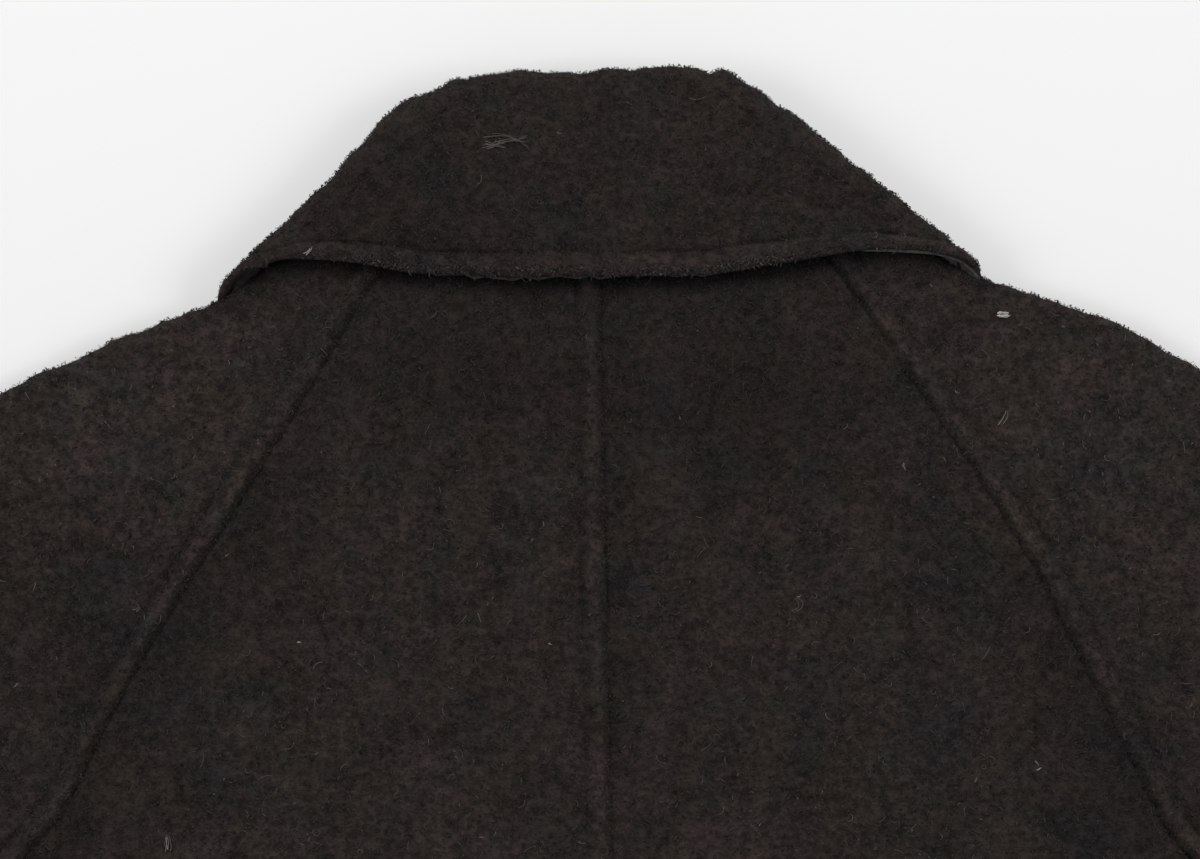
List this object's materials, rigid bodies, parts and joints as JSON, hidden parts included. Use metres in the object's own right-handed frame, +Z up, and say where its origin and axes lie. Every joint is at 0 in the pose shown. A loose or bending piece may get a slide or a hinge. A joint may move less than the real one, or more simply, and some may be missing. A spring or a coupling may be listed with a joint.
{
  "type": "cropped coat",
  "caption": "Cropped wool coat with raglan sleeves, a seamed back and a turned-down collar, laid flat on its front.",
  "frame": {"origin": "centre of the bounding box, on the surface that the coat lies on", "axes": "+X towards the wearer's right sleeve, +Y towards the collar, +Z up from the surface"},
  "size_m": [1.33, 0.627, 0.0254],
  "materials": {
    "coat_wool": "thick brushed wool with a short curled nap",
    "under_collar_cloth": "smooth dense felt"
  },
  "bodies": {
    "root": {"back_left": "coat_wool", "back_right": "coat_wool", "front_left": "coat_wool", "front_right": "coat_wool", "sleeve_left": "coat_wool", "sleeve_right": "coat_wool", "upper_collar": "coat_wool", "under_collar": "under_collar_cloth"}
  },
  "joints": []
}
